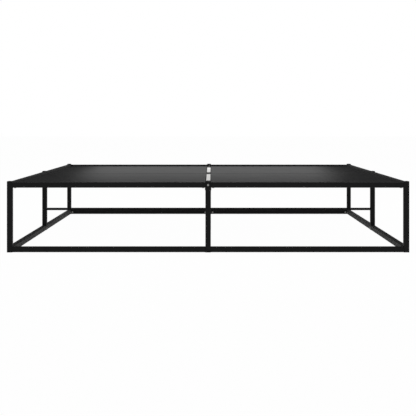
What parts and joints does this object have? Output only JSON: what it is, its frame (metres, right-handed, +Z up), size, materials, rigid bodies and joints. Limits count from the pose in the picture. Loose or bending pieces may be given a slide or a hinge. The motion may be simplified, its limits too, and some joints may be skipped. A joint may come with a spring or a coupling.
{
  "type": "metal bed frame",
  "caption": "Low platform bed frame of square steel tube: legs with caps, half-length rails, centre beam on a middle leg, tie bars and flat deck panels for a double mattress.",
  "frame": {"origin": "on the floor under the middle of the bed", "axes": "+Z up, +Y from the front end to the back end along the mattress, +X across it to the right"},
  "size_m": [1.86, 2.0656, 0.33],
  "materials": {
    "powder_coat": "black powder coat, satin, fine texture",
    "deck_board": "engineered board with a smooth black melamine face",
    "batten_wood": "raw pine",
    "buffer_strip": "pale, matt, finely grained",
    "black_plastic": "matt moulded plastic",
    "zinc_steel": "zinc plated",
    "black_screw": "black oxide"
  },
  "bodies": {
    "root": {"leg_front_left": "powder_coat", "leg_front_centre": "powder_coat", "leg_front_right": "powder_coat", "leg_middle_left": "powder_coat", "leg_middle_centre": "powder_coat", "leg_middle_right": "powder_coat", "leg_back_left": "powder_coat", "leg_back_centre": "powder_coat", "leg_back_right": "powder_coat", "top_rail_front_left": "powder_coat", "top_rail_front_right": "powder_coat", "top_rail_back_left": "powder_coat", "top_rail_back_right": "powder_coat", "bottom_rail_front_left": "powder_coat", "bottom_rail_front_right": "powder_coat", "bottom_rail_back_left": "powder_coat", "bottom_rail_back_right": "powder_coat", "top_rail_left_front": "powder_coat", "top_rail_left_back": "powder_coat", "top_rail_right_front": "powder_coat", "top_rail_right_back": "powder_coat", "bottom_rail_left_front": "powder_coat", "bottom_rail_left_back": "powder_coat", "bottom_rail_right_front": "powder_coat", "bottom_rail_right_back": "powder_coat", "centre_beam_front": "powder_coat", "centre_beam_back": "powder_coat", "crossbar_left": "powder_coat", "crossbar_right": "powder_coat", "tie_bar_left": "powder_coat", "tie_bar_right": "powder_coat", "spigots_front": "powder_coat", "spigots_back": "powder_coat", "spigots_left": "powder_coat", "spigots_right": "powder_coat", "spigots_middle": "powder_coat", "tie_bar_pins": "powder_coat", "beam_hangers": "powder_coat", "ledges_front": "powder_coat", "ledges_back": "powder_coat", "ledges_left": "powder_coat", "ledges_right": "powder_coat", "ledges_beam": "powder_coat", "ledges_crossbar": "powder_coat", "deck_panel_front_left": "deck_board", "deck_panel_front_right": "deck_board", "deck_panel_back_left": "deck_board", "deck_panel_back_right": "deck_board", "deck_battens": "batten_wood", "buffer_strip_front": "buffer_strip", "buffer_strip_back": "buffer_strip", "leg_caps": "black_plastic", "middle_leg_cap": "black_plastic", "floor_glides": "black_plastic", "rail_bolts": "zinc_steel", "beam_bolts": "zinc_steel", "hanger_bolts": "zinc_steel", "hanger_nuts": "zinc_steel", "deck_screws": "black_screw", "tie_bar_screws": "zinc_steel"}
  },
  "joints": []
}
